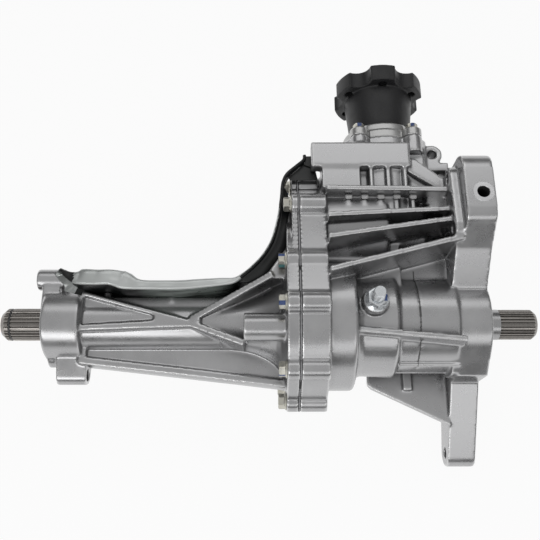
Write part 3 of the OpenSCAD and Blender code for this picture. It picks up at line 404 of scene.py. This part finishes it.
def add(mesh, materials, replaced=(), choose=None):
    """A piece of the housing, named as its mesh."""
    paint_faces(mesh, materials, choose)
    obj = bpy.data.objects.new(mesh.name, mesh)
    scene.collection.objects.link(obj)
    return place_piece(obj, "housing", replaced)


def bake(obj):
    """Applies an object's modifiers to its mesh."""
    graph = bpy.context.evaluated_depsgraph_get()
    mesh = bpy.data.meshes.new_from_object(obj.evaluated_get(graph), depsgraph=graph)
    obj.modifiers.clear()
    obj.data = mesh


def smooth_shading(mesh, sharp=SHARP_ANGLE):
    mesh.shade_smooth()
    mesh.set_sharp_from_angle(angle=math.radians(sharp))


def ring(radius, height, count=48):
    """A ring about +Z; radius and height may be functions of the angle."""
    points = []
    for k in range(count):
        a = 2 * math.pi * k / count
        r = radius(a) if callable(radius) else radius
        z = height(a) if callable(height) else height
        points.append(Vector((r * math.cos(a), r * math.sin(a), z)))
    return points


def capped_grid(rows):
    """(vertices, faces) of rings of equal length, joined in order; the ends are capped."""
    count = len(rows[0])
    faces = []
    for i in range(len(rows) - 1):
        for k in range(count):
            a, b = i * count + k, i * count + (k + 1) % count
            faces.append((a, b, b + count, a + count))
    faces.append(tuple(range(count - 1, -1, -1)))
    faces.append(tuple(range((len(rows) - 1) * count, len(rows) * count)))
    return [v for row in rows for v in row], faces


def closed_solids(name, groups, smooth=True):
    """One mesh, in metres, from groups of rows given in millimetres, one group for each solid."""
    verts, faces = [], []
    for rows in groups:
        new_verts, new_faces = capped_grid(rows)
        faces += [tuple(i + len(verts) for i in face) for face in new_faces]
        verts += [v * MM for v in new_verts]
    mesh = bpy.data.meshes.new(name)
    mesh.from_pydata(verts, [], faces)
    bm = bmesh.new()
    bm.from_mesh(mesh)
    bmesh.ops.recalc_face_normals(bm, faces=bm.faces)
    bm.to_mesh(mesh)
    bm.free()
    if smooth:
        smooth_shading(mesh)
    return mesh


def open_grid(name, rows):
    """A sheet without thickness, in metres, through rows of equal length in millimetres."""
    count = len(rows[0])
    faces = [(i * count + k, (i + 1) * count + k, (i + 1) * count + k + 1, i * count + k + 1)
             for i in range(len(rows) - 1) for k in range(count - 1)]
    mesh = bpy.data.meshes.new(name)
    mesh.from_pydata([v * MM for row in rows for v in row], [], faces)
    mesh.shade_smooth()
    return mesh


def washer_mesh(name, inner, outer, low, high, centre):
    """A flat ring about +Z with its top edges broken, from sizes in millimetres."""
    rim, mouth = 0.15, 0.3
    rows = [ring(inner, low), ring(outer, low), ring(outer, high - rim),
            ring(outer - rim, high), ring(inner + mouth, high), ring(inner, high - mouth)]
    count = len(rows[0])
    faces = []
    for i in range(len(rows)):
        a, b = i * count, (i + 1) % len(rows) * count
        for k in range(count):
            after = (k + 1) % count
            faces.append((a + k, a + after, b + after, b + k))
    mesh = bpy.data.meshes.new(name)
    mesh.from_pydata([(v + centre) * MM for row in rows for v in row], [], faces)
    smooth_shading(mesh)
    return mesh


# CAD nodes that show as they are
JOURNAL_X = (-1, 16.1)      # the ground part of the right shaft

node_slot = {s["node"]: s["material_slot"] for s in frame["record"]["subparts"]}
for name, obj in nodes.items():
    paint_faces(obj.data, [SLOT_MATERIAL[node_slot[name]]])
paint_faces(nodes["left_shaft"].data, [SPLINE, JOURNAL])
paint_faces(nodes["right_shaft"].data, [SPLINE, JOURNAL],
            lambda c, face: int(JOURNAL_X[0] < c.x < JOURNAL_X[1]))


# Castings
EAR_TOP = box_mm("carrier_housing")[1].z
EAR_FACE_X = 0              # machined right face of the mount
UPRIGHT = Vector((-11, 97, 0))
UPRIGHT_BORE, UPRIGHT_FACE = 5.5, 9.5
UPRIGHT_LOW = 54            # the wall of its hole is painted dark above this, as shade
STEP_FACE_X = -35           # machined face at the left of the mount
GROOVE_X, GROOVE_REACH = -65, 52    # painted shade of a groove over the round body, and its radius


def carrier_face(c, face):
    """Index of the material: 0 cast, 1 machined, 2 painted shade inside the upright hole, 3 painted shade in the
    groove.
    """
    n = face.normal
    from_hole = math.hypot(c.x - UPRIGHT.x, c.y - UPRIGHT.y)
    if n.x > 0.97 and c.x > EAR_FACE_X - 0.4:
        return 1
    # Painted shade: the wall inside the upright hole turns dark
    if from_hole < UPRIGHT_BORE + 0.1 and c.z > UPRIGHT_LOW:
        return 2
    if n.z > 0.9 and c.z > EAR_TOP - 0.8 and from_hole < UPRIGHT_FACE + 0.1:
        return 1
    if n.x < -0.95 and abs(c.x - STEP_FACE_X) < 0.5:
        return 1
    # Painted shade: the faces of the groove get the dark finish
    if abs(c.x - GROOVE_X) < 0.75 and c.z > 10 and abs(n.x) < 0.5:
        if math.hypot(c.y, c.z) < GROOVE_REACH:
            return 3
    return 0


def casting(node, materials, body, voxel, passes, choose=None):
    """A node with rounded edges and filleted corners, as poured metal has.

    It is remade from voxels of the given size, and smoothed in so many passes.
    """
    obj = bpy.data.objects.new(node + "_cast", nodes[node].data.copy())
    scene.collection.objects.link(obj)
    remesh = obj.modifiers.new("remesh", "REMESH")
    remesh.mode = "VOXEL"
    remesh.voxel_size = voxel * MM
    smooth = obj.modifiers.new("smooth", "SMOOTH")
    smooth.factor = 0.5
    smooth.iterations = passes
    bake(obj)
    obj.data.shade_smooth()
    paint_faces(obj.data, materials, choose)
    return place_piece(obj, body, [node])


casting("carrier_housing", [CAST, FACED, HOLE_SHADE, GROOVE_SHADE], "housing",
        voxel=1.1, passes=8, choose=carrier_face)
casting("axle_tube", [CAST], "housing", voxel=1.05, passes=8)
casting("pinion_retainer", [CAST_PLATE], "housing", voxel=0.7, passes=3)
casting("input_flange", [BLACK_FLANGE], "pinion", voxel=0.8, passes=3)


# Bolts
def hex_head(flat, height, washer_r, washer_h, dish=0.6):
    """Rings of a flanged hexagon head with broken edges, its seat at z 0, in millimetres."""
    def edge(a):
        return flat / math.cos((a + math.pi / 6) % (math.pi / 3) - math.pi / 6)

    def chamfer(a):
        return height - (edge(a) - flat) * 0.6 - 0.15

    return [ring(washer_r - 0.2, 0), ring(washer_r, 0.25), ring(washer_r, 0.75),
            ring(washer_r - 0.5, 1.1), ring(flat + 0.75, washer_h + 0.3),
            ring(lambda a: edge(a) + 0.12, washer_h + 0.7), ring(edge, washer_h + 1.1),
            ring(edge, chamfer), ring(flat - 0.35, height), ring(flat * 0.62, height),
            ring(flat * 0.52, height - dish), ring(0.3, height - dish)]


def moved(rows, matrix):
    return [[matrix @ v for v in row] for row in rows]


def bolts_mesh(name, seats, facing, twist, head, shank_r, shank_length):
    """A head and a shank at each seat; each bolt is turned by twist degrees from the last."""
    shank = [ring(shank_r, -shank_length, 24), ring(shank_r, 0.2, 24)]
    groups = []
    for number, seat in enumerate(seats):
        turn = Matrix.Rotation(math.radians(twist * number), 4, "Z")
        matrix = Matrix.Translation(seat) @ facing @ turn
        groups += [moved(head, matrix), moved(shank, matrix)]
    return closed_solids(name, groups)


def nearest(seats, c):
    return min(seats, key=lambda seat: (seat - c).length)


# Bolts of the split flange: a circle about the axle and one about the countershaft's lobe
JOINT_LEFT = box_mm("joint_gasket")[0].x
COVER_FACE = JOINT_LEFT - 11
LOBE_FACE = JOINT_LEFT - 6
COUNTER = joint_mm("countershaft_spin")
AXLE_ANGLES = (53, 90, 137, 180, 225, 270, 310)
LOBE_ANGLES = (-75, -25, 20, 75)
AXLE_CIRCLE, LOBE_CIRCLE = 72.5, 44.5
FIRST_MARK, MARK_STEP = 40, 53                          # where the marks start, in degrees
BLUE_SECTOR, TEAL_SECTOR, TEAL_OFFSET = 38, 34, 110     # degrees of each head
MARK_LOW, MARK_REACH = 1.8, 3                           # clear of the washer and of the middle


def on_circle(centre, radius, angle, x):
    a = math.radians(angle)
    return Vector((x, centre.y + radius * math.cos(a), centre.z + radius * math.sin(a)))


flange_seats = [on_circle(Vector(), AXLE_CIRCLE, a, COVER_FACE) for a in AXLE_ANGLES]
flange_seats += [on_circle(COUNTER, LOBE_CIRCLE, a, LOBE_FACE) for a in LOBE_ANGLES]


def flange_bolt_face(c, face):
    """Paint marks: a blue sector on each head, and a teal one on every third."""
    seat = nearest(flange_seats, c)
    number = flange_seats.index(seat)
    if seat.x - c.x <= MARK_LOW or (c - seat).yz.length <= MARK_REACH:
        return 0
    turn = math.degrees(math.atan2(c.z - seat.z, c.y - seat.y)) % 360
    start = (FIRST_MARK + MARK_STEP * number) % 360
    if (turn - start) % 360 < BLUE_SECTOR:
        return 1
    if number % 3 == 0 and (turn - start - TEAL_OFFSET) % 360 < TEAL_SECTOR:
        return 2
    return 0


m8_head = hex_head(flat=6, height=7.5, washer_r=8, washer_h=1.6)
flange_bolts = bolts_mesh("flange_bolts_fine", flange_seats, FACING_LEFT, twist=17,
                          head=m8_head, shank_r=4, shank_length=29)
add(flange_bolts, [ZINC, BLUE, TEAL], ["flange_bolts"], flange_bolt_face)

# Bolts of the retainer, at the corners of a rectangle about the input axis
INPUT = joint_mm("pinion_spin")
RETAINER_SEAT = box_mm("pinion_retainer")[0].y + 8
RETAINER_REACH_X, RETAINER_REACH_Z = 26, 35

retainer_seats = [
    Vector((INPUT.x + side * RETAINER_REACH_X, RETAINER_SEAT, INPUT.z + level * RETAINER_REACH_Z))
    for side in (-1, 1) for level in (-1, 1)]


def retainer_bolt_face(c, face):
    """A blue mark on the upper side of each head."""
    seat = nearest(retainer_seats, c)
    return int(c.z > seat.z + 3 and c.y > seat.y + 2.4 and abs(c.x - seat.x) < 1.9)


m6_head = hex_head(flat=4.9, height=6.4, washer_r=6.8, washer_h=1.4)
retainer_bolts = bolts_mesh("retainer_bolts_fine", retainer_seats, FACING_REAR, twist=23,
                            head=m6_head, shank_r=3, shank_length=21)
add(retainer_bolts, [ZINC, BLUE], ["retainer_bolts"], retainer_bolt_face)


# The stud and its nut
STUD = Vector((*centre_mm("stud_nut").xy, 0))
STUD_LOW, STUD_TOP = box_mm("housing_stud")[0].z, 83.9
NUT_LOW, NUT_TOP = [corner.z for corner in box_mm("stud_nut")]
NUT_HEIGHT = NUT_TOP - NUT_LOW
PITCH, THREAD_R, THREAD_DEPTH = 1.5, 5.4, 0.6
RINGS_PER_TURN, LEAD_IN = 6, 1.4


def thread_rows(low, top):
    """Rings of the threaded rod, with a tapered end at the top."""
    steps = int((top - low) / PITCH * RINGS_PER_TURN)
    rows = []
    for i in range(steps + 1):
        z = low + (top - low) * i / steps
        full = min(1, (top - z) / LEAD_IN)

        def thread(a):
            crest = abs(((z / PITCH - a / (2 * math.pi)) % 1) - 0.5) * 2
            return min(THREAD_R - THREAD_DEPTH * crest, THREAD_R - THREAD_DEPTH * 1.1 * (1 - full))

        rows.append(ring(thread, z))
    rows.append(ring(0.3, top))
    return rows


def nut_face(c, face):
    """A blue mark on the right side of the nut."""
    at = c - STUD
    return int(at.x > 5 and abs(at.y + 1) < 3 and at.z > NUT_LOW + 4)


at_stud = Matrix.Translation(STUD)
at_nut = at_stud @ Matrix.Translation((0, 0, NUT_LOW))
TOP_RINGS = 3       # the last rings of a head, which give way to the nut's bore
nut_rows = hex_head(flat=7.9, height=NUT_HEIGHT, washer_r=10.8, washer_h=2.6)[:-TOP_RINGS]
nut_rows += [ring(6.4, NUT_HEIGHT), ring(6.05, NUT_HEIGHT - 0.4)]
add(closed_solids("stud_fine", [moved(thread_rows(STUD_LOW, STUD_TOP), at_stud)]),
    [BRIGHT_ZINC], ["housing_stud"])
add(closed_solids("stud_nut_fine", [moved(nut_rows, at_nut)]),
    [BRIGHT_ZINC, BLUE], ["stud_nut"], nut_face)


# Heat shield. Stations along its top: x, y, width of the lip, height of the top
SHIELD = (
    (-391.5, 40.0, 2.0, 43), (-384, 32.0, 7.0, 44.5), (-376, 26.8, 12.0, 46),
    (-368, 25.4, 14.0, 47), (-356, 25.0, 13.6, 47.5), (-344, 25.0, 13.6, 48),
    (-334, 21.6, 15.8, 48), (-325, 20.8, 13.6, 47.5), (-316, 20.8, 8.4, 47),
    (-300, 20.8, 7.8, 46.5), (-280, 20.8, 8.0, 46.5), (-262, 22.4, 7.6, 46.5),
    (-244, 24.4, 6.6, 46.5), (-231, 27.0, 4.6, 46.5), (-222, 34.0, 2.4, 46.5),
    (-213, 42.5, 2.0, 46.5), (-204, 53.0, 2.0, 46.5), (-196.5, 66.5, 2.0, 46.5),
    (-192.4, 80.0, 2.0, 46.5), (-189.4, 94.0, 2.0, 46.5), (-187.6, 108.0, 2.0, 46.5),
    (-186.8, 115.5, 2.0, 46.5), (-186.4, 122.0, 2.0, 46.5), (-185.2, 129.0, 2.0, 46.5),
    (-181.5, 136.5, 2.0, 46.5), (-172.5, 145.0, 2.0, 46.0), (-165.6, 152.0, 2.0, 45),
    (-164.6, 158.5, 2.0, 43),
)
BETWEEN = 5             # rows made for each station
SHEET = 1.2             # thickness
BEND = 1.6              # radius between the wall and the lip
WALL_ROWS = 6
BEND_ROWS = 5
# Height of its foot: by x along the tube, by y round the flange
FOOT_BY_X = ((-391.5, 42), (-384, 39.5), (-377, 33), (-358, 17), (-236, 17), (-222, -12))
FOOT_BY_Y = ((108, -12), (122, 34), (146, 37))
FLANGE_Y = 80           # behind this the foot goes by y
# How far the foot is turned in
TURNED_BY_Y = ((30, 6), (56, 5), (70, 0.6), (146, 0.6))
# Width of the ledge inside it that reaches the castings, by y round the flange
LEDGE_BY_Y = ((29, 1), (34, 8), (42.5, 13), (53, 12), (66.5, 14), (80, 12.6), (94, 9.8), (108, 8),
              (116, 5), (124, 1.4))
LEDGE_Z, LEDGE_LEFT = 41, -240
# The tab under the block over the nose, its web, and the flap that hangs from it: outline, heights
PLATES = (
    (((-165.6, 150.2), (-164.6, 157.5), (-150.4, 158), (-150.4, 148), (-160, 146), (-166.4, 148.6)),
     (40.6, 41.9)),
    (((-180, 132.5), (-181, 136), (-171.5, 144.5), (-165.4, 151), (-158, 150), (-153.5, 133)),
     (39.2, 40.2)),
    (((-158, 149), (-156.5, 149), (-152, 126), (-153.5, 126)), (37, 41.5)),
)


def along_line(points, at):
    """Straight between the given (place, value) points, flat beyond them."""
    if at <= points[0][0]:
        return points[0][1]
    for (a, low), (b, high) in zip(points, points[1:]):
        if at <= b:
            return low + (high - low) * (at - a) / (b - a)
    return points[-1][1]


def smooth_path(stations):
    """Catmull-Rom through the stations, all columns together."""
    last = len(stations) - 1
    made = []
    for i in range(last):
        around = [stations[max(0, min(last, i + k))] for k in (-1, 0, 1, 2)]
        for step in range(BETWEEN):
            t = step / BETWEEN
            made.append([
                0.5 * (2 * b + (c - a) * t + (2 * a - 5 * b + 4 * c - d) * t * t
                       + (3 * b - a - 3 * c + d) * t ** 3)
                for a, b, c, d in zip(*around)])
    made.append(list(stations[-1]))
    return made


def headings(path):
    """A unit vector along the path at each of its points, seen from above."""
    last = len(path) - 1
    ends = [(path[max(0, i - 1)], path[min(last, i + 1)]) for i in range(last + 1)]
    return [Vector((after[0] - before[0], after[1] - before[1])).normalized()
            for before, after in ends]


def row_across(x, y, along, section):
    """A section stood across the path; its first numbers point away from the castings."""
    return [Vector((x - along.y * out, y + along.x * out, z)) for out, z in section]


def shield_section(i, x, y, wide, top):
    """(distance out, height) points from the foot up the wall and over the lip."""
    foot = along_line(FOOT_BY_Y, y) if y > FLANGE_Y else along_line(FOOT_BY_X, x)
    turned = along_line(TURNED_BY_Y, y) if y > 30 else max(0.2, y - 20)
    bend = min(BEND, wide / 2)
    ripple = 0.5 * math.sin(i * 0.9) + 0.35 * math.sin(i * 0.37 + 1)
    section = [(-turned, foot - 0.2)]
    for k in range(WALL_ROWS):
        dent = 0.4 * math.sin(i * 0.5) if k == WALL_ROWS // 2 else 0
        section.append((dent, foot + (top - foot) * k / WALL_ROWS))
    for k in range(BEND_ROWS):
        a = math.radians(90 / (BEND_ROWS - 1) * k)
        section.append((bend * (1 - math.cos(a)), top - bend * (1 - math.sin(a))))
    for k, share in ((1, 0.5), (2, 1), (3, 0.5)):
        lift = ripple * share * min(1, wide / 8)
        section.append((bend + (wide - 2 * bend) * k / 3, top + lift))
    # The rim turns down: 7 mm where the lip is wide, a rounded edge where it is narrow
    section += [(wide - bend * 0.3, top - bend * 0.5), (wide, top - bend * 1.2)]
    if wide > 5:
        section += [(wide, top - 3.5), (wide - 0.4, top - 7)]
    else:
        section += [(wide, top - 1.4 * bend), (wide - 0.2, top - 1.8 * bend)]
    return section


def shield_rows():
    path = smooth_path(SHIELD)
    return [row_across(p[0], p[1], along, shield_section(i, *p))
            for i, (p, along) in enumerate(zip(path, headings(path)))]


def ledge_rows():
    """The ledge on the inner side, from the wall round the flange to the castings."""
    first, last = LEDGE_BY_Y[0][0], LEDGE_BY_Y[-1][0]
    path = [p for p in smooth_path(SHIELD) if first < p[1] < last and p[0] > LEDGE_LEFT]
    rows = []
    for (x, y, _, top), along in zip(path, headings(path)):
        reach = along_line(LEDGE_BY_Y, y)
        section = [(0, top - 2.5), (-0.2 * reach, LEDGE_Z + 1.5), (-0.5 * reach, LEDGE_Z + 0.4),
                   (-reach, LEDGE_Z)]
        rows.append(row_across(x, y, along, section))
    return rows


shield_grid = shield_rows()
FACES_ACROSS = len(shield_grid[0]) - 1
LIP_FACE = WALL_ROWS + 1                # the first face of a row that belongs to the lip
RIM_FACE = LIP_FACE + BEND_ROWS + 2     # and to its outer rim
END_X, LIP_LEFT, LIP_RIGHT, RIM_RIGHT = -378, -377, -226, -190


def shield_face(c, face):
    """1, bare: the lip along the tube, the wall at its left end, the rim beside the flange."""
    k = face.index % FACES_ACROSS
    lip = k >= LIP_FACE and LIP_LEFT < c.x < LIP_RIGHT
    left_end = k < LIP_FACE and c.x < END_X
    rim = k >= RIM_FACE and LIP_RIGHT < c.x < RIM_RIGHT
    return int(lip or left_end or rim)


shield = add(open_grid("heat_shield_sheet", shield_grid), [BLACK_SHEET, SILVER_LIP],
             ["heat_shield"], shield_face)
ledge = add(open_grid("heat_shield_ledge", ledge_rows()), [BLACK_SHEET])
for sheet in (shield, ledge):
    thicken = sheet.modifiers.new("thicken", "SOLIDIFY")
    thicken.thickness = SHEET * MM
    thicken.offset = 0
    bake(sheet)

plate_rows = [[[Vector((x, y, z)) for x, y in outline] for z in heights]
              for outline, heights in PLATES]
add(closed_solids("heat_shield_tab", plate_rows, smooth=False), [BLACK_SHEET])


# Machined face round the upright hole of the rear ear
add(washer_mesh("upright_face", UPRIGHT_BORE, UPRIGHT_FACE, EAR_TOP - 0.4, EAR_TOP + 0.2, UPRIGHT),
    [FACED])


# Caps on the five posts between the two rear fins
POSTS, POST_STEP = 5, 15
FIRST_POST = Vector((-125.75, 108.5, 53.2))
CAP_SIZE, CAP_EDGE = Vector((6.6, 4, 3)), 0.7


def caps_mesh():
    bm = bmesh.new()
    size = Matrix.Diagonal((*(CAP_SIZE * MM), 1))
    for i in range(POSTS):
        place = (FIRST_POST + Vector((POST_STEP * i, 0, 0))) * MM
        made = bmesh.ops.create_cube(bm, size=1, matrix=Matrix.Translation(place) @ size)
        edges = list({edge for vert in made["verts"] for edge in vert.link_edges})
        bmesh.ops.bevel(bm, geom=edges, offset=CAP_EDGE * MM, segments=2, affect="EDGES")
    mesh = bpy.data.meshes.new("post_caps")
    bm.to_mesh(mesh)
    bm.free()
    smooth_shading(mesh, sharp=50)
    return mesh


add(caps_mesh(), [CAST])


# Floor: white to the camera, but for the share that carries the shadow
FLOOR_HALF = 40         # metres, so that no view shows its edge near the object
WHITE_SHARE = 0.93


def floor_material():
    s = Shader("pale_floor").set(Roughness=0.6)
    s.colour(s.ramp(s.noise(3, 2), [(0, 0.8), (1, 0.84)]))
    ray = s.node("ShaderNodeLightPath")
    seen = ray.outputs["Is Camera Ray"]
    bent = s.math("MAXIMUM", ray.outputs["Is Glossy Ray"], ray.outputs["Is Transmission Ray"])
    white = s.node("ShaderNodeEmission", Strength=1.0)
    blend = s.node("ShaderNodeMixShader")
    s.link(s.math("MULTIPLY", s.math("MAXIMUM", seen, bent), WHITE_SHARE), blend.inputs[0])
    s.link(s.bsdf.outputs[0], blend.inputs[1])
    s.link(white.outputs[0], blend.inputs[2])
    s.link(blend.outputs[0], s.tree.nodes["Material Output"].inputs["Surface"])
    return s.material


floor_mesh = bpy.data.meshes.new("floor")
floor_mesh.from_pydata(
    [(x * FLOOR_HALF, y * FLOOR_HALF, cad_box[0].z) for x, y in ((-1, -1), (1, -1), (1, 1), (-1, 1))],
    [], [(0, 1, 2, 3)])
floor_mesh.materials.append(floor_material())
floor = bpy.data.objects.new("floor", floor_mesh)
scene.collection.objects.link(floor)


# The studio: a pale horizon, darker walls above it and a bright ceiling, as (height, level)
SKY = ((0.0, 0.3), (0.12, 0.2), (0.4, 0.15), (0.6, 0.34), (0.85, 0.56), (1.0, 0.64))


def studio_world():
    world = bpy.data.worlds.new("studio")
    world.use_nodes = True
    sky = world.node_tree
    direction = sky.nodes.new("ShaderNodeTexCoord")
    split = sky.nodes.new("ShaderNodeSeparateXYZ")
    shade = sky.nodes.new("ShaderNodeValToRGB")
    while len(shade.color_ramp.elements) < len(SKY):
        shade.color_ramp.elements.new(0.5)
    for element, (height, level) in zip(shade.color_ramp.elements, SKY):
        element.position = height
        element.color = (level, level, level, 1)
    sky.links.new(direction.outputs["Generated"], split.inputs[0])
    sky.links.new(split.outputs["Z"], shade.inputs["Fac"])
    sky.links.new(shade.outputs["Color"], sky.nodes["Background"].inputs["Color"])
    sky.nodes["Background"].inputs["Strength"].default_value = 1.0
    return world


def softbox(name, place, target, size, power):
    light = bpy.data.lights.new(name, "AREA")
    light.shape = "RECTANGLE"
    light.size, light.size_y = size
    light.energy = power
    obj = bpy.data.objects.new(name, light)
    obj.location = place
    facing = Vector(target) - Vector(place)
    obj.rotation_euler = facing.to_track_quat("-Z", "Y").to_euler()
    scene.collection.objects.link(obj)


scene.world = studio_world()
softbox("key_box", (-0.8, -1.0, 0.8), (-0.35, 0, 0), size=(0.9, 0.5), power=3.6)
softbox("front_box", (0.3, -1.0, 0.8), (-0.1, 0, 0), size=(1.2, 0.5), power=2.0)
softbox("rear_box", (-0.2, 0.9, 1.1), (-0.2, 0, 0), size=(1.6, 0.5), power=2)
scene.view_settings.view_transform = "Standard"
